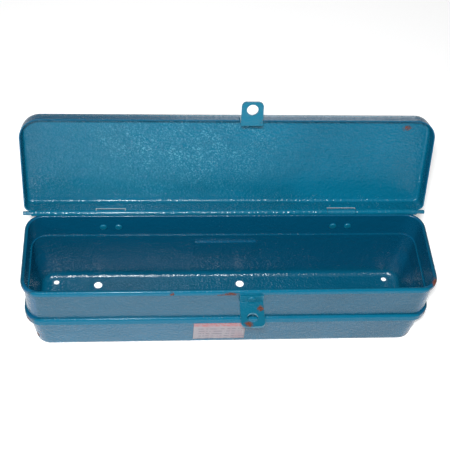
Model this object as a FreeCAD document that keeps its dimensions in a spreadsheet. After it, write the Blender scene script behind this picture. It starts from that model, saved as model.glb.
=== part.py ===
import FreeCAD, Part
import Sketcher
import math
import os

# A long pressed-steel tool box with a deep hinged lid, standing open.
# Frame: origin at the centre of the underside, +X to the right along the length,
# +Y towards the hinge at the rear, +Z up. Millimetres.

doc = FreeCAD.newDocument("tool_box")
sheet = doc.addObject("Spreadsheet::Sheet", "Sizes")

DIMENSIONS = [
    # the upper band of the box, with its rolled rim and rolled lower edge
    ("RimLength", 394.0),
    ("RimWidth", 95.0),
    ("BodyHeight", 95.0),
    ("SheetThick", 1.2),
    ("RimReach", 2.5),
    ("RimBand", 7.0),
    ("RimCorner", 18.0),
    ("RimRound", 2.2),
    ("InnerRound", 1.0),
    ("HemBottom", 41.0),
    ("HemTop", 51.0),
    ("HemReach", 2.6),
    ("HemRound", 2.4),
    # the lower pan, which rises inside the band to a lip
    ("LipHeight", 66.0),
    ("FloorInsetEnds", 5.0),
    ("FloorInsetSides", 0.8),
    ("FloorRound", 7.0),
    ("BossLength", 62.0),
    ("BossBottom", 34.0),
    ("BossTop", 57.0),
    ("BossDepth", 1.6),
    ("BoltHoleRadius", 4.25),
    ("BoltHoleSpacing", 148.0),
    ("BoltHoleMiddle", -56.0),
    ("BoltHoleRear", 29.0),
    ("DrainHoleRadius", 2.75),
    ("DrainHoleSpacing", 346.0),
    ("DrainHoleRear", 33.0),
    # the lid, drawn closed about the hinge axis
    ("LidGap", 0.6),
    ("LidDepth", 17.0),
    ("LidDraft", 0.8),
    ("LidRound", 4.0),
    ("LidRearCorner", 6.5),
    ("OpenAngle", 110.0),
    # the hinge
    ("RodRadius", 2.0),
    ("RodPlay", 0.05),
    ("RodLength", 400.0),
    ("HingeDrop", 3.5),
    ("CurlLength", 384.0),
    ("StrapWidth", 28.0),
    ("StrapOffset", 115.0),
    ("StrapGap", 0.5),
    ("StrapDrop", 19.0),
    ("StrapShelf", 6.0),
    ("StrapLeg", 5.4),
    ("NotchHeight", 5.0),
    # the rivets
    ("RivetRadius", 2.0),
    ("RivetHeadRadius", 3.6),
    ("RivetHeadHeight", 1.5),
    ("RivetSpacing", 15.0),
    ("RivetDrop", 12.5),
    # the hasp on the lid and the staple on the box
    ("LatchOffset", 18.0),
    ("HaspWidth", 20.5),
    ("HaspRise", 9.0),
    ("HaspDrop", 10.5),
    ("HaspReach", 24.0),
    ("HaspThick", 2.0),
    ("HaspHoleRadius", 5.4),
    ("LatchHoleReach", 16.0),
    ("LatchCorner", 5.0),
    ("StapleWidth", 22.4),
    ("StaplePlay", 0.4),
    ("StapleReach", 26.0),
    ("StapleThick", 2.4),
    ("StapleHoleRadius", 5.2),
    # the blank paper label
    ("LabelLength", 51.0),
    ("LabelTall", 30.0),
    ("LabelThick", 0.15),
    ("LabelMiddle", -9.0),
    ("LabelBase", 9.0),
]
for row, (alias, value) in enumerate(DIMENSIONS, start=1):
    sheet.set(f"A{row}", alias)
    sheet.set(f"B{row}", str(value))
    sheet.setAlias(f"B{row}", alias)
doc.recompute()


def size(alias):
    """A driving dimension, read from the sheet."""
    return float(getattr(sheet, alias))


def cell(alias):
    """How an expression names a driving dimension."""
    return f"Sizes.{alias}"


def place(sketch, kind, *values):
    """Add a constraint and return its number."""
    return sketch.addConstraint(Sketcher.Constraint(kind, *values))


def bind(sketch, kind, geometry, expression):
    """A size constraint on one element, driven by an expression."""
    index = sketch.addConstraint(Sketcher.Constraint(kind, *geometry, 1.0))
    sketch.setExpression(f"Constraints[{index}]", expression)


def new_body(label):
    """An empty body named after the piece it will be."""
    body = doc.addObject("PartDesign::Body", label)
    body.Label = label
    return body


def new_sketch(body, name, role="XY_Plane", offset=None):
    """A sketch on one of the body's own origin planes, raised by an expression."""
    sketch = body.newObject("Sketcher::SketchObject", name)
    plane = next(item for item in body.Origin.OriginFeatures if item.Role == role)
    sketch.AttachmentSupport = [(plane, "")]
    sketch.MapMode = "FlatFace"
    if offset:
        sketch.setExpression("AttachmentOffset.Base.z", offset)
    return sketch


def rounded_outline(sketch, half_x, half_y, radius, middle_y="0", rear_radius=None):
    """A rectangle with round corners; the rear two may have a radius of their own."""
    vec = FreeCAD.Vector
    a, b, c = 100.0, 40.0, 10.0
    corners = [(a - c, b - c, 0), (c - a, b - c, 90), (c - a, c - b, 180), (a - c, c - b, 270)]
    arcs = []
    for x, y, start in corners:
        circle = Part.Circle(vec(x, y, 0), vec(0, 0, 1), c)
        arc = Part.ArcOfCircle(circle, math.radians(start), math.radians(start + 90))
        arcs.append(sketch.addGeometry(arc))
    for this, after in zip(arcs, arcs[1:] + arcs[:1]):
        start = sketch.getPoint(this, 2)
        end = sketch.getPoint(after, 1)
        line = sketch.addGeometry(Part.LineSegment(start, end))
        place(sketch, "Tangent", this, 2, line, 1)
        place(sketch, "Tangent", line, 2, after, 1)
    rear = rear_radius or radius
    sides = (("", "", rear), ("-", "", rear), ("-", "-", radius), ("", "-", radius))
    for arc, (side_x, side_y, own) in zip(arcs, sides):
        bind(sketch, "Radius", (arc,), own)
        bind(sketch, "DistanceX", (-1, 1, arc, 3), f"{side_x}({half_x} - {own})")
        bind(sketch, "DistanceY", (-1, 1, arc, 3), f"{middle_y} + {side_y}({half_y} - {own})")
    return sketch


def circles(sketch, centres, radius):
    """Equal circles at centres given as pairs of expressions."""
    for x, y in centres:
        circle = Part.Circle(FreeCAD.Vector(0, 0, 0), FreeCAD.Vector(0, 0, 1), 1.0)
        index = sketch.addGeometry(circle)
        bind(sketch, "Radius", (index,), radius)
        bind(sketch, "DistanceX", (-1, 1, index, 3), x)
        bind(sketch, "DistanceY", (-1, 1, index, 3), y)
    return sketch


def outline_distance(point, half_x, half_y, radius, middle_y=0.0):
    """How far a point lies outside a round-cornered rectangle, in plan."""
    x = abs(point.x) - (half_x - radius)
    y = abs(point.y - middle_y) - (half_y - radius)
    return math.hypot(max(x, 0), max(y, 0)) + min(max(x, y), 0) - radius


def ring_edges(feature, level, half_x, half_y, radius, middle_y=0.0):
    """Names of the edges that follow a round-cornered rectangle at one height."""
    names = []
    for index, edge in enumerate(feature.Shape.Edges, start=1):
        box = edge.BoundBox
        flat = abs(box.ZMin - level) < 0.01 and abs(box.ZMax - level) < 0.01
        middle = edge.valueAt((edge.FirstParameter + edge.LastParameter) / 2)
        if flat and abs(outline_distance(middle, half_x, half_y, radius, middle_y)) < 0.05:
            names.append(f"Edge{index}")
    return names


def round_edges(body, name, base, names, radius):
    """A fillet on named edges of a feature."""
    if not names:
        raise RuntimeError(f"{name}: no edges found")
    fillet = body.newObject("PartDesign::Fillet", name)
    fillet.Base = (base, names)
    fillet.setExpression("Radius", radius)
    doc.recompute()
    return fillet


def pad(body, name, sketch, length, midplane=False):
    """A pad whose length is an expression."""
    feature = body.newObject("PartDesign::Pad", name)
    feature.Profile = sketch
    feature.setExpression("Length", length)
    feature.Midplane = midplane
    doc.recompute()
    return feature


def pocket(body, name, sketch, length, reverse=False, midplane=False):
    """A pocket that must take material away."""
    before = body.Shape.Volume
    feature = body.newObject("PartDesign::Pocket", name)
    feature.Profile = sketch
    feature.setExpression("Length", length)
    feature.Reversed = reverse
    feature.Midplane = midplane
    doc.recompute()
    if body.Shape.Volume > before - 0.1:
        raise RuntimeError(f"{name} cuts nothing")
    return feature


def loft(body, name, kind, lower, upper):
    """A straight loft between two outlines, added or taken away."""
    feature = body.newObject(f"PartDesign::{kind}Loft", name)
    feature.Profile = lower
    feature.Sections = [upper]
    feature.Ruled = True
    doc.recompute()
    return feature


def polygon(sketch, corners):
    """A closed outline of straight lines through corners given as pairs of expressions."""
    count = len(corners)
    lines = []
    for index in range(count):
        angle = 2 * math.pi * index / count
        after = 2 * math.pi * (index + 1) / count
        start = FreeCAD.Vector(30 * math.cos(angle), 30 * math.sin(angle), 0)
        end = FreeCAD.Vector(30 * math.cos(after), 30 * math.sin(after), 0)
        lines.append(sketch.addGeometry(Part.LineSegment(start, end)))
    for this, after in zip(lines, lines[1:] + lines[:1]):
        place(sketch, "Coincident", this, 2, after, 1)
    for line, (x, y) in zip(lines, corners):
        bind(sketch, "DistanceX", (-1, 1, line, 1), x)
        bind(sketch, "DistanceY", (-1, 1, line, 1), y)
    return sketch


def rectangle(sketch, low_x, high_x, low_y, high_y):
    """A plain rectangle from four expressions."""
    return polygon(sketch, [(low_x, low_y), (high_x, low_y), (high_x, high_y), (low_x, high_y)])


# ---------------------------------------------------------------- the box

# The band is the upper wall; the pan's wall lies inside it and the two are spot-welded.
BAND_X = "(Sizes.RimLength / 2 - Sizes.RimReach)"
BAND_Y = "(Sizes.RimWidth / 2 - Sizes.RimReach)"
BAND_R = "(Sizes.RimCorner - Sizes.RimReach)"
band_x = size("RimLength") / 2 - size("RimReach")
band_y = size("RimWidth") / 2 - size("RimReach")
band_r = size("RimCorner") - size("RimReach")
thick = size("SheetThick")


def band_outline(sketch, grow, ends="", sides=""):
    """The band's outer outline, grown or shrunk by an expression."""
    half_x = f"({BAND_X} {grow} {ends})"
    half_y = f"({BAND_Y} {grow} {sides})"
    return rounded_outline(sketch, half_x, half_y, f"({BAND_R} {grow})")


def rivet_places():
    """Each hinge rivet: its name and the expression for its X."""
    places = []
    for side, sign in (("left", "-"), ("right", "")):
        for end, step in (("outer", "+"), ("inner", "-")):
            x = f"{sign}(Sizes.StrapOffset {step} Sizes.RivetSpacing / 2)"
            places.append((f"hinge_rivet_{side}_{end}", x))
    return places


RIVET_Z = "(Sizes.BodyHeight - Sizes.HingeDrop - Sizes.RivetDrop)"
STAPLE_TOP = "(Sizes.BodyHeight - Sizes.HingeDrop - Sizes.HaspDrop - Sizes.HaspThick - Sizes.StaplePlay)"
STAPLE_RIVET_Z = f"(({STAPLE_TOP} + Sizes.BodyHeight - Sizes.RimBand) / 2)"


def make_band():
    """The upper band: a wall with a rolled rim above and a rolled hem below."""
    body = new_body("body_band")
    hem = new_sketch(body, "HemOutline", offset=cell("HemBottom"))
    band_outline(hem, "+ Sizes.HemReach")
    hem = pad(body, "Hem", hem, "Sizes.HemTop - Sizes.HemBottom")
    reach = size("HemReach")
    ring = (band_x + reach, band_y + reach, band_r + reach)
    names = ring_edges(hem, size("HemBottom"), *ring) + ring_edges(hem, size("HemTop"), *ring)
    round_edges(body, "HemRounds", hem, names, cell("HemRound"))

    wall = new_sketch(body, "WallOutline", offset=cell("HemTop"))
    band_outline(wall, "")
    pad(body, "Wall", wall, "Sizes.BodyHeight - Sizes.HemTop")
    rim = new_sketch(body, "RimOutline", offset="Sizes.BodyHeight - Sizes.RimBand")
    band_outline(rim, "+ Sizes.RimReach")
    rim = pad(body, "Rim", rim, cell("RimBand"))
    ring = (size("RimLength") / 2, size("RimWidth") / 2, size("RimCorner"))
    names = ring_edges(rim, size("BodyHeight"), *ring)
    names += ring_edges(rim, size("BodyHeight") - size("RimBand"), *ring)
    round_edges(body, "RimRounds", rim, names, cell("RimRound"))

    hollow = new_sketch(body, "HollowOutline", offset=cell("HemBottom"))
    band_outline(hollow, "- Sizes.SheetThick")
    hollow = pocket(body, "Hollow", hollow, cell("BodyHeight"), reverse=True)
    names = ring_edges(hollow, size("BodyHeight"), band_x - thick, band_y - thick, band_r - thick)
    round_edges(body, "InnerRounds", hollow, names, cell("InnerRound"))

    rear = new_sketch(body, "RearRivetHoles", role="XZ_Plane")
    circles(rear, [(x, RIVET_Z) for _, x in rivet_places()], cell("RivetRadius"))
    pocket(body, "RearRivetCuts", rear, cell("RimWidth"))
    front = new_sketch(body, "FrontRivetHole", role="XZ_Plane")
    circles(front, [(cell("LatchOffset"), STAPLE_RIVET_Z)], cell("RivetRadius"))
    pocket(body, "FrontRivetCut", front, cell("RimWidth"), reverse=True)
    return body


def make_pan():
    """The lower pan: tapered walls, a rounded floor edge, a lip and the floor holes."""
    body = new_body("body_pan")
    ends = "- Sizes.FloorInsetEnds"
    sides = "- Sizes.FloorInsetSides"
    for kind, depth, floor, top in (
        ("Additive", "- Sizes.SheetThick", "0", cell("LipHeight")),
        ("Subtractive", "- 2 * Sizes.SheetThick", cell("SheetThick"), "2 * Sizes.LipHeight"),
    ):
        low = new_sketch(body, f"{kind}Floor", offset=floor)
        band_outline(low, depth, ends, sides)
        shoulder = new_sketch(body, f"{kind}Shoulder", offset=cell("HemBottom"))
        band_outline(shoulder, depth)
        tapered = loft(body, f"{kind}Taper", kind, low, shoulder)
        upright = new_sketch(body, f"{kind}Upright", offset=cell("HemBottom"))
        band_outline(upright, depth)
        if kind == "Additive":
            pad(body, "Upright", upright, f"{top} - Sizes.HemBottom")
        else:
            tapered = pocket(body, "UprightHollow", upright, top, reverse=True)
    floor_x = band_x - thick - size("FloorInsetEnds")
    floor_y = band_y - thick - size("FloorInsetSides")
    floor_r = band_r - thick
    names = ring_edges(tapered, thick, floor_x - thick, floor_y - thick, floor_r - thick)
    inside = "Sizes.FloorRound - Sizes.SheetThick"
    rounded = round_edges(body, "InnerFloorRounds", tapered, names, inside)
    names = ring_edges(rounded, 0.0, floor_x, floor_y, floor_r)
    round_edges(body, "OuterFloorRounds", rounded, names, cell("FloorRound"))

    boss = new_sketch(body, "BossOutline", role="XZ_Plane", offset=f"-({BAND_Y} - 1.5 * Sizes.SheetThick)")
    half = "Sizes.BossLength / 2"
    rectangle(boss, f"-{half}", half, cell("BossBottom"), cell("BossTop"))
    pad(body, "Boss", boss, "Sizes.BossDepth + Sizes.SheetThick")

    bolts = new_sketch(body, "BoltHoles")
    half = "Sizes.BoltHoleSpacing / 2"
    ends = [(f"Sizes.BoltHoleMiddle {sign} {half}", cell("BoltHoleRear")) for sign in "-+"]
    circles(bolts, ends, cell("BoltHoleRadius"))
    pocket(body, "BoltHoleCuts", bolts, "2 * Sizes.SheetThick", reverse=True)
    drains = new_sketch(body, "DrainHoles")
    half = "Sizes.DrainHoleSpacing / 2"
    ends = [(f"{sign}{half}", cell("DrainHoleRear")) for sign in ("-", "")]
    circles(drains, ends, cell("DrainHoleRadius"))
    pocket(body, "DrainHoleCuts", drains, "2 * Sizes.SheetThick", reverse=True)
    return body


# ---------------------------------------------------------------- the lid

# The lid's own frame has its origin on the hinge axis, with the lid closed and level.
KNUCKLE = "(Sizes.RodRadius + Sizes.RodPlay)"
CURL = f"({KNUCKLE} + Sizes.SheetThick)"
HINGE_Y = f"(Sizes.RimWidth / 2 + Sizes.LidGap + {CURL})"
HINGE_Z = "(Sizes.BodyHeight - Sizes.HingeDrop)"
LID_X = "(Sizes.RimLength / 2 + Sizes.LidGap + Sizes.SheetThick)"
LID_Y = "(Sizes.RimWidth / 2 + Sizes.LidGap + Sizes.SheetThick)"
LID_R = "(Sizes.RimCorner + Sizes.LidGap + Sizes.SheetThick)"
LID_MIDDLE = f"(-{KNUCKLE} - {LID_Y})"
curl = size("RodRadius") + size("RodPlay") + thick
hinge_y = size("RimWidth") / 2 + size("LidGap") + curl
hinge_z = size("BodyHeight") - size("HingeDrop")
lid_middle = curl - thick + size("RimWidth") / 2 + size("LidGap") + thick


def open_lid(piece):
    """Turn a piece drawn on the closed lid to where it stands when the lid is open."""
    turn = FreeCAD.Rotation(FreeCAD.Vector(1, 0, 0), -size("OpenAngle"))
    piece.Placement = FreeCAD.Placement(FreeCAD.Vector(0, hinge_y, hinge_z), turn)


def lid_outline(sketch, shrink):
    """The lid's outline, shrunk by an expression, with tight corners at the hinge."""
    half_x = f"({LID_X} {shrink})"
    half_y = f"({LID_Y} {shrink})"
    rear = f"(Sizes.LidRearCorner {shrink})"
    return rounded_outline(sketch, half_x, half_y, f"({LID_R} {shrink})", LID_MIDDLE, rear)


def make_lid():
    """The deep lid: drafted skirts, rounded crown edge, and its rear edge curled."""
    body = new_body("lid_shell")
    low = lid_outline(new_sketch(body, "SkirtEdge"), "")
    high = lid_outline(new_sketch(body, "Crown", offset=cell("LidDepth")), "- Sizes.LidDraft")
    loft(body, "Skirt", "Additive", low, high)
    low = lid_outline(new_sketch(body, "InnerEdge"), "- Sizes.SheetThick")
    high = new_sketch(body, "InnerCrown", offset="Sizes.LidDepth - Sizes.SheetThick")
    lid_outline(high, "- Sizes.SheetThick - Sizes.LidDraft")
    inner = loft(body, "InnerSkirt", "Subtractive", low, high)
    crown = (size("RimLength") / 2, size("RimWidth") / 2, size("RimCorner"))
    crown = [value + size("LidGap") - size("LidDraft") for value in crown]
    names = ring_edges(inner, size("LidDepth") - thick, *crown, -lid_middle)
    inner = round_edges(body, "InnerRounds", inner, names, "Sizes.LidRound - Sizes.SheetThick")
    crown = [value + thick for value in crown]
    names = ring_edges(inner, size("LidDepth"), *crown, -lid_middle)
    round_edges(body, "CrownRounds", inner, names, cell("LidRound"))

    ring = new_sketch(body, "CurlRing", role="YZ_Plane")
    circles(ring, [("0", "0")], CURL)
    circles(ring, [("0", "0")], KNUCKLE)
    pad(body, "Curl", ring, cell("CurlLength"), midplane=True)
    notches = new_sketch(body, "Notches", offset=f"-2 * {CURL}")
    half = "(Sizes.StrapWidth / 2 + Sizes.StrapGap)"
    for sign in ("-", ""):
        centre = f"{sign}Sizes.StrapOffset"
        rectangle(notches, f"{centre} - {half}", f"{centre} + {half}", f"-2 * {CURL}", f"2 * {CURL}")
    pocket(body, "NotchCuts", notches, f"2 * {CURL} + Sizes.NotchHeight", reverse=True)
    open_lid(body)
    return body


# ---------------------------------------------------------------- the hinge

def make_rod():
    """The hinge rod, the full length of the box."""
    rod = doc.addObject("Part::Cylinder", "hinge_rod")
    rod.Label = "hinge_rod"
    rod.setExpression("Radius", cell("RodRadius"))
    rod.setExpression("Height", cell("RodLength"))
    lengthwise = FreeCAD.Rotation(FreeCAD.Vector(0, 1, 0), 90)
    rod.Placement = FreeCAD.Placement(FreeCAD.Vector(0, 0, 0), lengthwise)
    rod.setExpression("Placement.Base.x", "-Sizes.RodLength / 2")
    rod.setExpression("Placement.Base.y", HINGE_Y)
    rod.setExpression("Placement.Base.z", HINGE_Z)
    return rod


def make_strap(side, sign):
    """A hinge strap: a plate on the rear wall, a shelf and leg, and a knuckle."""
    body = new_body(f"hinge_strap_{side}")
    wall = f"({BAND_Y} - {HINGE_Y})"
    outer = f"({wall} + Sizes.SheetThick)"
    slope = f"({CURL} / Sizes.StrapLeg)"
    rise = f"sqrt(1 - {slope} ^ 2)"
    inner_leg = "Sizes.StrapLeg - Sizes.SheetThick"
    profile = new_sketch(body, "Profile", role="YZ_Plane")
    corners = [
        (wall, "-Sizes.StrapDrop"),
        (outer, "-Sizes.StrapDrop"),
        (outer, "-Sizes.StrapShelf - Sizes.SheetThick"),
        ("Sizes.StrapLeg", "-Sizes.StrapShelf - Sizes.SheetThick"),
        ("Sizes.StrapLeg", "0"),
        (f"{CURL} * {slope}", f"{CURL} * {rise}"),
        (f"{KNUCKLE} * {slope}", f"{KNUCKLE} * {rise}"),
        (inner_leg, "-Sizes.SheetThick / 2"),
        (inner_leg, "-Sizes.StrapShelf"),
        (wall, "-Sizes.StrapShelf"),
    ]
    polygon(profile, corners)
    pad(body, "Strip", profile, cell("StrapWidth"), midplane=True)
    knuckle = new_sketch(body, "KnuckleRing", role="YZ_Plane")
    circles(knuckle, [("0", "0")], CURL)
    pad(body, "Knuckle", knuckle, cell("StrapWidth"), midplane=True)
    bore = new_sketch(body, "Bore", role="YZ_Plane")
    circles(bore, [("0", "0")], KNUCKLE)
    pocket(body, "BoreCut", bore, "2 * Sizes.StrapWidth", midplane=True)
    holes = new_sketch(body, "RivetHoles", role="XZ_Plane")
    half = "Sizes.RivetSpacing / 2"
    circles(holes, [(f"-{half}", "-Sizes.RivetDrop"), (half, "-Sizes.RivetDrop")],
            cell("RivetRadius"))
    pocket(body, "RivetCuts", holes, cell("RimWidth"), reverse=True)
    body.setExpression("Placement.Base.x", f"{sign}Sizes.StrapOffset")
    body.setExpression("Placement.Base.y", HINGE_Y)
    body.setExpression("Placement.Base.z", HINGE_Z)
    return body


def make_rivet(label, grip, x, y, z):
    """A rivet across a wall, with a domed head in front and a set tail behind."""
    body = new_body(label)
    head = new_sketch(body, "HeadCircle", offset="-Sizes.RivetHeadHeight")
    circles(head, [("0", "0")], cell("RivetHeadRadius"))
    head = pad(body, "Head", head, cell("RivetHeadHeight"))
    names = ring_edges(head, -size("RivetHeadHeight"), *[size("RivetHeadRadius")] * 3)
    round_edges(body, "HeadDome", head, names, "Sizes.RivetHeadHeight * 0.8")
    shank = new_sketch(body, "ShankCircle")
    circles(shank, [("0", "0")], cell("RivetRadius"))
    pad(body, "Shank", shank, grip)
    tail = new_sketch(body, "TailCircle", offset=grip)
    circles(tail, [("0", "0")], "Sizes.RivetHeadRadius * 0.85")
    pad(body, "Tail", tail, "Sizes.RivetHeadHeight * 0.7")
    outward = FreeCAD.Rotation(FreeCAD.Vector(1, 0, 0), -90)
    body.Placement = FreeCAD.Placement(FreeCAD.Vector(0, 0, 0), outward)
    body.setExpression("Placement.Base.x", x)
    body.setExpression("Placement.Base.y", y)
    body.setExpression("Placement.Base.z", z)
    return body


# ---------------------------------------------------------------- hasp, staple and label

def tab_plate(body, corners, width, end):
    """A bent plate across the latch, with rounded corners at its far end."""
    profile = new_sketch(body, "Profile", role="YZ_Plane")
    polygon(profile, corners)
    plate = pad(body, "Plate", profile, width, midplane=True)
    names = []
    for index, edge in enumerate(plate.Shape.Edges, start=1):
        box = edge.BoundBox
        if abs(box.YMin - end) < 0.02 and abs(box.YMax - end) < 0.02 and box.ZLength > 0.5:
            names.append(f"Edge{index}")
    round_edges(body, "TabCorners", plate, names, cell("LatchCorner"))


def padlock_hole(body, level, y, radius, depth):
    """A padlock hole cut upwards from a plate's underside."""
    hole = new_sketch(body, "PadlockHole", offset=level)
    circles(hole, [("0", y)], radius)
    pocket(body, "PadlockCut", hole, depth, reverse=True)


def make_hasp():
    """The hasp: a foot on the lid's front skirt and a tab that points forward."""
    body = new_body("hasp_tab")
    face = f"(-{KNUCKLE} - 2 * {LID_Y})"
    front = f"({face} - Sizes.HaspThick)"
    lean = "(Sizes.LidDraft * Sizes.HaspRise / Sizes.LidDepth)"
    tip = f"({face} - Sizes.HaspReach)"
    under = "(-Sizes.HaspDrop - Sizes.HaspThick)"
    corners = [
        (face, "0"),
        (f"{face} + {lean}", "Sizes.HaspRise"),
        (f"{front} + {lean}", "Sizes.HaspRise"),
        (front, "0"),
        (front, "-Sizes.HaspDrop"),
        (tip, "-Sizes.HaspDrop"),
        (tip, under),
        (face, under),
    ]
    end = -(2 * lid_middle - curl + thick) - size("HaspReach")
    tab_plate(body, corners, cell("HaspWidth"), end)
    middle = f"{face} - Sizes.LatchHoleReach"
    padlock_hole(body, under, middle, cell("HaspHoleRadius"), cell("HaspThick"))
    open_lid(body)
    body.Placement.Base = FreeCAD.Vector(size("LatchOffset"), hinge_y, hinge_z)
    return body


def make_staple():
    """The staple: a foot riveted under the rim and a plate that points forward."""
    body = new_body("staple_bracket")
    wall = f"(-{BAND_Y})"
    front = f"({wall} - Sizes.StapleThick)"
    tip = "(-Sizes.RimWidth / 2 - Sizes.LidGap - Sizes.SheetThick - Sizes.StapleReach)"
    head = "(Sizes.BodyHeight - Sizes.RimBand - Sizes.StaplePlay)"
    under = f"({STAPLE_TOP} - Sizes.StapleThick)"
    corners = [
        (wall, under),
        (wall, head),
        (front, head),
        (front, STAPLE_TOP),
        (tip, STAPLE_TOP),
        (tip, under),
    ]
    end = -size("RimWidth") / 2 - size("LidGap") - thick - size("StapleReach")
    tab_plate(body, corners, cell("StapleWidth"), end)
    middle = "(-Sizes.RimWidth / 2 - Sizes.LidGap - Sizes.SheetThick - Sizes.LatchHoleReach)"
    padlock_hole(body, under, middle, cell("StapleHoleRadius"), cell("StapleThick"))
    rivet = new_sketch(body, "RivetHole", role="XZ_Plane")
    circles(rivet, [("0", STAPLE_RIVET_Z)], cell("RivetRadius"))
    pocket(body, "RivetCut", rivet, cell("RimWidth"), reverse=True)
    body.setExpression("Placement.Base.x", cell("LatchOffset"))
    return body


def make_label():
    """A blank paper label on the pan's front wall, leaning with its taper."""
    label = doc.addObject("Part::Box", "paper_label")
    label.Label = "paper_label"
    label.setExpression("Length", cell("LabelLength"))
    label.setExpression("Width", cell("LabelThick"))
    label.setExpression("Height", cell("LabelTall"))
    taper = math.degrees(math.atan(size("FloorInsetSides") / size("HemBottom")))
    lean = FreeCAD.Rotation(FreeCAD.Vector(1, 0, 0), taper)
    label.Placement = FreeCAD.Placement(FreeCAD.Vector(0, 0, 0), lean)
    wall = f"-({BAND_Y} - Sizes.SheetThick)"
    base = f"{wall} + Sizes.FloorInsetSides * (1 - Sizes.LabelBase / Sizes.HemBottom)"
    label.setExpression("Placement.Base.x", "Sizes.LabelMiddle - Sizes.LabelLength / 2")
    label.setExpression("Placement.Base.y", f"{base} - 1.02 * Sizes.LabelThick")
    label.setExpression("Placement.Base.z", cell("LabelBase"))
    return label


pieces = [make_band(), make_pan(), make_lid(), make_rod()]
for side, sign in (("left", "-"), ("right", "")):
    pieces.append(make_strap(side, sign))
inner_wall = f"({BAND_Y} - Sizes.SheetThick)"
for label, x in rivet_places():
    pieces.append(make_rivet(label, "2 * Sizes.SheetThick", x, inner_wall, RIVET_Z))
grip = "Sizes.SheetThick + Sizes.StapleThick"
front_face = f"(-{BAND_Y} - Sizes.StapleThick)"
latch_x = cell("LatchOffset")
pieces.append(make_rivet("staple_rivet", grip, latch_x, front_face, STAPLE_RIVET_Z))
pieces += [make_hasp(), make_staple(), make_label()]
doc.recompute()

for item in doc.Objects:
    if {"Invalid", "Error"} & set(item.State):
        raise RuntimeError(f"{item.Name} did not build: {item.State}")
os.makedirs("parts", exist_ok=True)
for piece in pieces:
    if piece.Shape.isNull() or not piece.Shape.isValid():
        raise RuntimeError(f"{piece.Label} has no valid shape")
    piece.Shape.exportStep(f"parts/{piece.Label}.step")
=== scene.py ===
import math

import bmesh
import bpy
from mathutils import Matrix, Vector


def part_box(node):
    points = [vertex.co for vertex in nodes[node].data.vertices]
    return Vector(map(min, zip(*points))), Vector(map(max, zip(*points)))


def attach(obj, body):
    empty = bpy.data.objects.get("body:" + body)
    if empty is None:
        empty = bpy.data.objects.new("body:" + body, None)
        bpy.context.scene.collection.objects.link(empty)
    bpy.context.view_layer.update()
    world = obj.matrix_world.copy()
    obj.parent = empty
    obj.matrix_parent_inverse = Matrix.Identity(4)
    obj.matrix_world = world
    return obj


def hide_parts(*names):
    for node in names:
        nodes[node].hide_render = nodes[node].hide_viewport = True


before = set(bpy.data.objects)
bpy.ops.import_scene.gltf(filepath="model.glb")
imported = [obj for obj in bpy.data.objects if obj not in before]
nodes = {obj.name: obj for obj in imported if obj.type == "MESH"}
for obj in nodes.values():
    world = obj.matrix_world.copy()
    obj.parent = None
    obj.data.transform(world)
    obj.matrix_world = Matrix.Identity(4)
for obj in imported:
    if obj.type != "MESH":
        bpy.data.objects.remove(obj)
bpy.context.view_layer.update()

# A long pressed-steel tool box in worn blue-green enamel, with its lid standing open.
# Metres, in the CAD's frame: +X to the right, +Y to the hinge at the rear, +Z up.

MM = 0.001

# ---------------------------------------------------------------- sizes

low_band, high_band = (Vector(corner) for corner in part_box("body_band"))
low_pan, high_pan = (Vector(corner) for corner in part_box("body_pan"))
low_lid, high_lid = (Vector(corner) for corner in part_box("lid_shell"))
low_hasp, high_hasp = (Vector(corner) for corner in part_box("hasp_tab"))
low_staple, high_staple = (Vector(corner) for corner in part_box("staple_bracket"))
low_label, high_label = (Vector(corner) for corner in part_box("paper_label"))

# How far the lid leans back from upright.
LID_LEAN = math.radians(20)

# From the band's hem, its widest part, in to the middle of the wall's thickness.
HEM_TO_WALL = 3.2 * MM

# From the pan's widest part in to the middle of its wall, at the floor and at the sides.
PAN_END_INSET = 6.0 * MM
PAN_SIDE_INSET = 1.0 * MM

# The pan's ends widen by this much for each unit of height, up to the top of the taper.
PAN_TAPER = 5.0 / 41.0
PAN_TAPER_TOP = 41 * MM

LABEL_THICK = 0.15 * MM

# ---------------------------------------------------------------- colours, linear

ENAMEL = (0.0008, 0.078, 0.142, 1.0)
ENAMEL_PAN = (0.0008, 0.092, 0.170, 1.0)
ENAMEL_HINGE = (0.0012, 0.130, 0.225, 1.0)
ENAMEL_LID = (0.0008, 0.125, 0.218, 1.0)
ENAMEL_LATCH = (0.0020, 0.130, 0.215, 1.0)
# Painted highlight, for pale specks on the lid.
PAINTED_GLINT = (0.100, 0.370, 0.480, 1.0)
# Painted shade, for the inner walls and the lid's skirts.
PAINTED_SHADE = (0.0008, 0.078, 0.160, 1.0)
RUST = (0.20, 0.060, 0.030, 1.0)
RUST_DARK = (0.060, 0.018, 0.014, 1.0)
PAPER = (0.26, 0.245, 0.265, 1.0)
PAPER_PINK = (0.24, 0.17, 0.19, 1.0)
PAPER_GREY = (0.12, 0.11, 0.15, 1.0)
PAPER_RED = (0.36, 0.05, 0.06, 1.0)
FLOOR_WHITE = (0.93, 0.93, 0.93, 1.0)
WHITE = (1.0, 1.0, 1.0, 1.0)


def scaled(colour, factor, lift=0.0):
    """A lighter or darker version of a colour."""
    return tuple(min(1.0, factor * value + lift) for value in colour[:3]) + (1.0,)


# ---------------------------------------------------------------- material nodes

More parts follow.
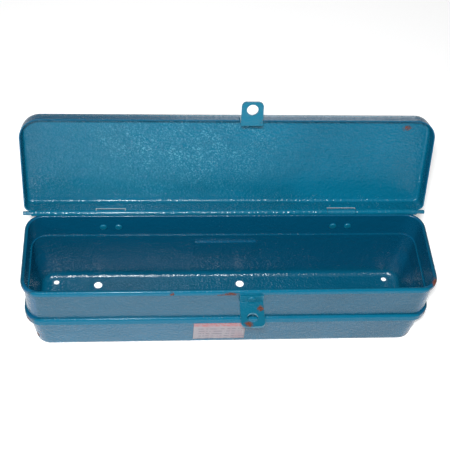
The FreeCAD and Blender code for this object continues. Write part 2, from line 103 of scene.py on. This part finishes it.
class Nodes:
    """A material's node tree, with short calls for the nodes that repeat."""

    def __init__(self, name):
        self.material = bpy.data.materials.new(name)
        self.material.use_nodes = True
        self.tree = self.material.node_tree
        self.tree.nodes.clear()
        output = self.tree.nodes.new("ShaderNodeOutputMaterial")
        self.shader = self.tree.nodes.new("ShaderNodeBsdfPrincipled")
        self.link(self.shader.outputs[0], output.inputs["Surface"])
        self.place = self.tree.nodes.new("ShaderNodeTexCoord").outputs["Object"]
        split = self.tree.nodes.new("ShaderNodeSeparateXYZ")
        self.link(self.place, split.inputs[0])
        self.axes = split.outputs

    def link(self, source, target):
        """Join an output to an input."""
        self.tree.links.new(source, target)

    def set(self, name, value):
        """Give one of the shader's inputs a constant or an output."""
        socket = self.shader.inputs[name]
        if isinstance(value, bpy.types.NodeSocket):
            self.link(value, socket)
        else:
            socket.default_value = value

    def noise(self, scale, detail, rough, stretch=None):
        """Noise with its scale in cycles per metre."""
        node = self.tree.nodes.new("ShaderNodeTexNoise")
        node.inputs["Scale"].default_value = scale
        node.inputs["Detail"].default_value = detail
        node.inputs["Roughness"].default_value = rough
        source = self.place
        if stretch:
            mapping = self.tree.nodes.new("ShaderNodeMapping")
            mapping.inputs["Scale"].default_value = stretch
            self.link(self.place, mapping.inputs["Vector"])
            source = mapping.outputs["Vector"]
        self.link(source, node.inputs["Vector"])
        return node.outputs["Fac"]

    def cells(self, scale):
        """Distance to the nearest of many scattered points."""
        node = self.tree.nodes.new("ShaderNodeTexVoronoi")
        node.inputs["Scale"].default_value = scale
        self.link(self.place, node.inputs["Vector"])
        return node.outputs["Distance"]

    def ramp(self, value, low, high, start=0.0, end=1.0):
        """A value mapped so that low gives start and high gives end."""
        node = self.tree.nodes.new("ShaderNodeMapRange")
        node.inputs["From Min"].default_value = low
        node.inputs["From Max"].default_value = high
        node.inputs["To Min"].default_value = start
        node.inputs["To Max"].default_value = end
        self.link(value, node.inputs["Value"])
        return node.outputs["Result"]

    def maths(self, operation, first, second=0.0):
        """A sum on outputs or constants."""
        node = self.tree.nodes.new("ShaderNodeMath")
        node.operation = operation
        for socket, value in zip(node.inputs, (first, second)):
            if isinstance(value, float):
                socket.default_value = value
            else:
                self.link(value, socket)
        return node.outputs[0]

    def times(self, *values):
        """The product of several outputs."""
        product = values[0]
        for value in values[1:]:
            product = self.maths("MULTIPLY", product, value)
        return product

    def vector(self, operation, source, constant=None):
        """A vector sum on an output and a constant."""
        node = self.tree.nodes.new("ShaderNodeVectorMath")
        node.operation = operation
        self.link(source, node.inputs[0])
        if constant is not None:
            node.inputs[1].default_value = constant
        return node.outputs

    def mix(self, amount, first, second):
        """A blend of two colours."""
        node = self.tree.nodes.new("ShaderNodeMix")
        node.data_type = "RGBA"
        self.link(amount, node.inputs[0])
        for socket, value in ((node.inputs[6], first), (node.inputs[7], second)):
            if isinstance(value, tuple):
                socket.default_value = value
            else:
                self.link(value, socket)
        return node.outputs[2]

    def bump(self, height, distance, strength, under=None):
        """A bumped normal, on top of another where one is given."""
        node = self.tree.nodes.new("ShaderNodeBump")
        node.inputs["Distance"].default_value = distance
        node.inputs["Strength"].default_value = strength
        self.link(height, node.inputs["Height"])
        if under is not None:
            self.link(under, node.inputs["Normal"])
        return node.outputs["Normal"]

    def distance(self, centre, radii):
        """Distance from a point, counted in the half-sizes of a patch about it."""
        shifted = self.vector("SUBTRACT", self.place, centre)["Vector"]
        shrunk = self.vector("DIVIDE", shifted, radii)["Vector"]
        return self.vector("LENGTH", shrunk)["Value"]


# ---------------------------------------------------------------- where painted shade, painted light and wear go

def inner_faces(made, half_x, half_y, taper=0.0):
    """1 on the faces inside a ring of walls, 0 outside it and on the floor; the ends may taper."""
    blur = 0.1 * MM
    rise = made.maths("MINIMUM", made.axes["Z"], PAN_TAPER_TOP)
    widening = made.maths("MULTIPLY", rise, -taper)
    across = made.maths("ADD", made.maths("ABSOLUTE", made.axes["X"]), widening)
    depth = made.maths("ABSOLUTE", made.axes["Y"])
    inside_x = made.ramp(across, half_x + blur, half_x - blur)
    inside_y = made.ramp(depth, half_y + blur, half_y - blur)
    above_floor = made.ramp(made.axes["Z"], 4 * MM, 16 * MM)
    return made.times(inside_x, inside_y, above_floor)


def band_inner_shade(made):
    """1 on the band's inner faces, which get painted shade."""
    return inner_faces(made, high_band.x - HEM_TO_WALL, high_band.y - HEM_TO_WALL)


def pan_inner_shade(made):
    """1 on the pan's inner walls, which get painted shade."""
    return inner_faces(made, high_pan.x - PAN_END_INSET, high_pan.y - PAN_SIDE_INSET, PAN_TAPER)


def band_rolls(made):
    """1 on the rolled rim and hem, which stand proud of the front and rear walls and get a painted
    lighter tone.
    """
    depth = made.maths("ABSOLUTE", made.axes["Y"])
    return made.ramp(depth, high_band.y - 2.4 * MM, high_band.y - 1.8 * MM)


def lid_skirt(made):
    """1 on the lid's front and side skirts, which get painted shade; 0 on its crown and near the
    hinge.
    """
    square = Vector((0, -math.cos(LID_LEAN), math.sin(LID_LEAN)))
    crown = Vector((0, high_lid.y, high_lid.z)).dot(square)
    proud = made.vector("DOT_PRODUCT", made.place, square)["Value"]
    off_crown = made.ramp(proud, crown + 3 * MM, crown + 6 * MM)
    off_hinge = made.ramp(made.axes["Z"], low_lid.z + 18 * MM, low_lid.z + 26 * MM)
    return made.times(off_hinge, off_crown)


def painted_glint_patch(made, centre, radii):
    """Painted highlight: fine pale glint specks in a soft-edged patch."""
    patch = made.ramp(made.distance(centre, radii), 1.1, 0.2)
    clumps = made.ramp(made.noise(55.0, 3.0, 0.6), 0.40, 0.65, 0.3, 1.0)
    painted_glints = made.ramp(made.noise(620.0, 3.0, 0.7), 0.51, 0.62, 0.0, 0.9)
    return made.times(patch, clumps, painted_glints)


def worn_spots(made, chips):
    """1 inside any of several ragged chips, 0 outside them all."""
    wobble = made.ramp(made.noise(650.0, 5.0, 0.75), 0.3, 0.7, -0.9, 1.1)
    worn = None
    for centre, radii in chips:
        ragged = made.maths("ADD", made.distance(centre, radii), wobble)
        here = made.ramp(ragged, 1.15, 0.85)
        worn = here if worn is None else made.maths("MAXIMUM", worn, here)
    return worn


# ---------------------------------------------------------------- materials

COAT = 0.10


def orange_peel(made, peel):
    """The sprayed surface: small dimples, low waves and a slow swell in the sheet."""
    normal = made.bump(made.cells(400.0), 0.00035 * peel, 0.8)
    normal = made.bump(made.noise(260.0, 2.0, 0.5), 0.00032 * peel, 0.8, normal)
    return made.bump(made.noise(34.0, 2.0, 0.5), 0.0011, 0.8, normal)


def enamel(name, colour, gloss, peel, chips=(), shade_mask=None, dull_and_tone=None, painted_glints=None):
    """Sprayed enamel with clouds, streaks and grain.

    chips are rust spots, shade_mask marks the walls that get painted shade, dull_and_tone is a
    mask and a colour for a finish with less sheen, painted a lighter or darker tone where light
    falls differently, and painted_glints is a patch of painted highlight specks.
    """
    made = Nodes(name)
    cloud = made.noise(9.0, 4.0, 0.55)
    streak = made.noise(26.0, 3.0, 0.6, stretch=(0.35, 1.0, 1.0))
    grain = made.noise(900.0, 2.0, 0.6)
    clouded = made.ramp(cloud, 0.35, 0.70, 0.0, 0.45)
    streaked = made.ramp(streak, 0.45, 0.75, 0.0, 0.30)
    base = made.mix(made.maths("ADD", clouded, streaked), colour, scaled(colour, 0.62))
    # Painted shade: the inner walls are mixed toward a darker blue.
    if shade_mask:
        base = made.mix(shade_mask(made), base, PAINTED_SHADE)
    # Painted highlight: pale specks mixed into the colour within a patch.
    if painted_glints:
        base = made.mix(painted_glint_patch(made, *painted_glints), base, PAINTED_GLINT)
    # Less sheen, and a painted tone: lighter on the band's rolled rim and hem, darker on the lid's
    # skirts.
    if dull_and_tone:
        mask, painted_tone = dull_and_tone
        dull_and_toned = mask(made)
        base = made.mix(made.maths("MULTIPLY", dull_and_toned, 0.75), base, painted_tone)
        made.set("Specular IOR Level", made.ramp(dull_and_toned, 0.0, 1.0, 0.42, 0.10))
    specks = made.ramp(grain, 0.70, 0.78, 0.0, 0.35)
    base = made.mix(specks, base, scaled(colour, 2.2, 0.01))
    rough_cloud = made.ramp(cloud, 0.3, 0.7, gloss, gloss + 0.12)
    rough_grain = made.ramp(grain, 0.5, 0.8, 0.0, 0.10)
    roughness = made.maths("ADD", rough_cloud, rough_grain)
    normal = orange_peel(made, peel)
    coat = COAT
    if chips:
        worn = worn_spots(made, chips)
        crust = made.mix(made.ramp(made.noise(700.0, 4.0, 0.7), 0.35, 0.65), RUST_DARK, RUST)
        base = made.mix(worn, base, crust)
        roughness = made.maths("MAXIMUM", roughness, made.maths("MULTIPLY", worn, 0.85))
        normal = made.bump(made.maths("SUBTRACT", 1.0, worn), 0.00015, 0.8, normal)
        coat = made.ramp(worn, 0.0, 1.0, COAT, 0.0)
    made.set("Coat Weight", coat)
    made.set("Coat Roughness", 0.12)
    made.set("IOR", 1.42)
    made.set("Base Color", base)
    made.set("Roughness", roughness)
    made.set("Normal", normal)
    return made.material


def paper_material():
    """Old sticker paper: a faded header band and broken grey rules, no lettering."""
    made = Nodes("old_paper")
    top = high_label.z
    tall = high_label.z - low_label.z
    rules = 7
    height = made.axes["Z"]
    stain = made.noise(60.0, 5.0, 0.6)
    base = made.mix(made.ramp(stain, 0.45, 0.75), PAPER, PAPER_PINK)
    band = made.ramp(height, top - 0.27 * tall, top - 0.24 * tall)
    faded = made.ramp(made.noise(300.0, 3.0, 0.7), 0.38, 0.60, 0.15, 0.75)
    base = made.mix(made.times(band, faded), base, PAPER_RED)
    waves = made.maths("SINE", made.maths("MULTIPLY", height, 2 * math.pi * rules / tall))
    ruled = made.ramp(waves, 0.1, 0.7, 0.0, 0.8)
    below = made.ramp(height, top - 0.30 * tall, top - 0.33 * tall)
    broken = made.ramp(made.noise(320.0, 3.0, 0.6, stretch=(1.0, 1.0, 0.2)), 0.42, 0.55)
    inner = made.ramp(made.axes["X"], low_label.x + 4 * MM, low_label.x + 5 * MM)
    base = made.mix(made.times(ruled, below, broken, inner), base, PAPER_GREY)
    made.set("Base Color", base)
    made.set("Roughness", 0.62)
    made.set("Normal", made.bump(made.noise(400.0, 4.0, 0.6), 0.0001, 0.5))
    return made.material


# ---------------------------------------------------------------- places of the chips and the painted highlight

def patch(x, y, z, wide, deep, tall):
    """A place in metres and a patch's half-sizes in millimetres."""
    return (x, y, z), (wide * MM, deep * MM, tall * MM)


rim_z = high_band.z
front_y = low_band.y
latch_x = (low_staple.x + high_staple.x) / 2

BAND_CHIPS = [
    patch(latch_x - 20 * MM, front_y, rim_z - 3.5 * MM, 6, 3, 2.2),
    patch(latch_x - 28 * MM, front_y, rim_z - 5 * MM, 6, 2, 1),
    patch(high_band.x - 4 * MM, front_y + 9 * MM, rim_z, 3, 6, 3),
    patch(latch_x - 75 * MM, front_y + 1 * MM, rim_z - 3 * MM, 2.2, 3, 2),
    patch(low_band.x + 3 * MM, front_y + 5 * MM, rim_z - 50 * MM, 3, 4, 2.5),
    patch(high_band.x - 3 * MM, front_y + 6 * MM, rim_z - 48 * MM, 3, 3, 2),
]
PAN_CHIPS = [
    patch(low_pan.x + 6 * MM, low_pan.y + 6 * MM, 12 * MM, 3, 3, 4),
    patch(high_pan.x - 8 * MM, low_pan.y + 5 * MM, 9 * MM, 5, 3, 2),
]
LID_CHIPS = [patch(high_lid.x - 24 * MM, high_lid.y - 8 * MM, high_lid.z - 19 * MM, 4.5, 5, 2.6)]
# Where the pale painted highlight specks go on the lid.
LID_PAINTED_GLINTS = patch(-45 * MM, high_lid.y - 18 * MM, high_lid.z - 40 * MM, 115, 60, 52)
HASP_CHIPS = [
    patch(high_hasp.x - 2 * MM, low_hasp.y + 12 * MM, low_hasp.z + 12 * MM, 2.4, 8, 3.5),
    patch(low_hasp.x + 5 * MM, high_hasp.y - 5 * MM, high_hasp.z - 6 * MM, 2, 4, 2.2),
]
STAPLE_CHIPS = [
    patch(high_staple.x - 3 * MM, high_staple.y - 10 * MM, high_staple.z - 9 * MM, 3.2, 3, 4),
    patch(low_staple.x + 7 * MM, low_staple.y + 3 * MM, low_staple.z + 2 * MM, 4, 3, 3),
]


# ---------------------------------------------------------------- the CAD's pieces

def paint(material, *names):
    """Give CAD nodes a material in place of their plain one."""
    for name in names:
        nodes[name].data.materials.clear()
        nodes[name].data.materials.append(material)


# The band's rolled rim and hem get a painted lighter tone and the lid's skirts painted shade, both
# with less sheen.
rolls_painted_light = (band_rolls, ENAMEL_LID)
skirt_painted_shade = (lid_skirt, PAINTED_SHADE)
band_paint = enamel("band_enamel", ENAMEL, 0.16, 0.9, BAND_CHIPS, shade_mask=band_inner_shade, dull_and_tone=rolls_painted_light)
pan_paint = enamel("pan_enamel", ENAMEL_PAN, 0.15, 1.2, PAN_CHIPS, shade_mask=pan_inner_shade)
lid_paint = enamel("lid_enamel", ENAMEL_LID, 0.17, 1.5, LID_CHIPS, dull_and_tone=skirt_painted_shade, painted_glints=LID_PAINTED_GLINTS)
hasp_paint = enamel("hasp_enamel", ENAMEL_LATCH, 0.26, 1.0, HASP_CHIPS)
staple_paint = enamel("staple_enamel", ENAMEL_LATCH, 0.26, 1.0, STAPLE_CHIPS)
hinge_paint = enamel("hinge_enamel", ENAMEL_HINGE, 0.28, 1.0)

paint(band_paint, "body_band")
paint(pan_paint, "body_pan")
paint(lid_paint, "lid_shell")
paint(hasp_paint, "hasp_tab")
paint(staple_paint, "staple_bracket", "staple_rivet")
paint(hinge_paint, *(name for name in nodes if name.startswith("hinge_")))


# ---------------------------------------------------------------- the paper label

def mesh_object(name, mesh):
    """A new object in the scene from a finished bmesh."""
    data = bpy.data.meshes.new(name)
    mesh.to_mesh(data)
    mesh.free()
    made = bpy.data.objects.new(name, data)
    bpy.context.scene.collection.objects.link(made)
    return made


def corner_lift(across, up):
    """How far the sheet stands off, from -1 to 1 across and up: most at its four corners."""
    edge = max(abs(across) - 0.8, 0) / 0.2
    corner = edge * max(abs(up) - 0.5, 0)
    return 0.5 * MM * corner ** 2


def make_label():
    """The paper sticker: a thin sheet on the sloping wall, lifting a little at its corners."""
    columns, rows = 26, 14
    middle_x = (low_label.x + high_label.x) / 2
    half = (high_label.x - low_label.x) / 2
    tall = high_label.z - low_label.z
    slope = (high_label.y - low_label.y - LABEL_THICK) / tall
    mesh = bmesh.new()
    grid = []
    for row in range(rows + 1):
        line = []
        rise = tall * row / rows
        for column in range(columns + 1):
            across = 2 * column / columns - 1
            x = across * half
            ripple = 0.05 * MM * (1 + math.sin(x * 210 + rise * 160))
            lift = corner_lift(across, 2 * row / rows - 1) + ripple
            y = high_label.y - LABEL_THICK - slope * rise - lift
            line.append(mesh.verts.new((middle_x + x, y, low_label.z + rise)))
        grid.append(line)
    for low_row, high_row in zip(grid, grid[1:]):
        for left in range(columns):
            right = left + 1
            mesh.faces.new((low_row[left], low_row[right], high_row[right], high_row[left]))
    piece = mesh_object("label_sheet", mesh)
    for face in piece.data.polygons:
        face.use_smooth = True
    piece.data.materials.append(paper_material())
    solid = piece.modifiers.new("thickness", "SOLIDIFY")
    solid.thickness = LABEL_THICK * 0.6
    solid.offset = 0
    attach(piece, "box")
    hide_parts("paper_label")


make_label()


# ---------------------------------------------------------------- floor, light and camera

CENTRE = (0.0, 0.0, 60 * MM)

# Each light: its place, what it faces, its width and its power. The flash stands by the camera.
LIGHTS = {
    "flash": ((-0.12, -0.60, 0.98), CENTRE, 0.09, 15.0),
    "soft_top": ((0.2, -0.1, 2.0), CENTRE, 0.8, 2.0),
    "soft_left": ((-1.5, -0.9, 1.1), CENTRE, 0.8, 4.0),
    "low_front": ((-0.42, -1.25, 0.10), (-0.05, 0.06, 0.14), 0.04, 1.3),
    "soft_back": ((0.4, 1.9, 0.35), CENTRE, 0.8, 6.0),
}

CAMERA_PLACE = (-86.2 * MM, -567.2 * MM, 837.0 * MM)
CAMERA_YAW = 7.861
CAMERA_PITCH = 50.79
CAMERA_ROLL = 5.838
CAMERA_LENS = 78.2
CAMERA_SENSOR = 36.0


def make_floor():
    """A wide pale floor that glows a little, so it stays white."""
    reach = 6.0
    mesh = bmesh.new()
    square = ((-1, -1), (1, -1), (1, 1), (-1, 1))
    mesh.faces.new([mesh.verts.new((x * reach, y * reach, 0)) for x, y in square])
    floor = mesh_object("studio_floor", mesh)
    made = Nodes("studio_white")
    made.set("Base Color", FLOOR_WHITE)
    made.set("Roughness", 0.9)
    made.set("Specular IOR Level", 0.1)
    made.set("Emission Color", WHITE)
    made.set("Emission Strength", 0.34)
    floor.data.materials.append(made.material)


def make_world():
    """A dim, even surround."""
    world = bpy.data.worlds.new("studio")
    world.use_nodes = True
    sky = world.node_tree.nodes["Background"]
    sky.inputs["Color"].default_value = WHITE
    sky.inputs["Strength"].default_value = 0.13
    bpy.context.scene.world = world


def area_light(name, place, target, wide, power):
    """A square soft light that faces a point."""
    data = bpy.data.lights.new(name, "AREA")
    data.shape = "SQUARE"
    data.size = wide
    data.energy = power
    light = bpy.data.objects.new(name, data)
    bpy.context.scene.collection.objects.link(light)
    aim = (Vector(target) - Vector(place)).to_track_quat("-Z", "Y")
    light.matrix_world = Matrix.Translation(place) @ aim.to_matrix().to_4x4()


def make_camera():
    """The camera, turned by yaw, pitch and roll from a level view along +Y."""
    data = bpy.data.cameras.new("camera")
    data.lens = CAMERA_LENS
    data.sensor_width = CAMERA_SENSOR
    data.clip_start = 0.01
    camera = bpy.data.objects.new("camera", data)
    bpy.context.scene.collection.objects.link(camera)
    yaw = Matrix.Rotation(math.radians(-CAMERA_YAW), 4, "Z")
    pitch = Matrix.Rotation(math.radians(90 - CAMERA_PITCH), 4, "X")
    roll = Matrix.Rotation(math.radians(CAMERA_ROLL), 4, "Z")
    camera.matrix_world = Matrix.Translation(CAMERA_PLACE) @ yaw @ pitch @ roll
    bpy.context.scene.camera = camera


make_floor()
make_world()
for light, (place, target, wide, power) in LIGHTS.items():
    area_light(light, place, target, wide, power)
make_camera()

# A plain display transform keeps the enamel's full colour and the floor white.
bpy.context.scene.view_settings.view_transform = "Standard"
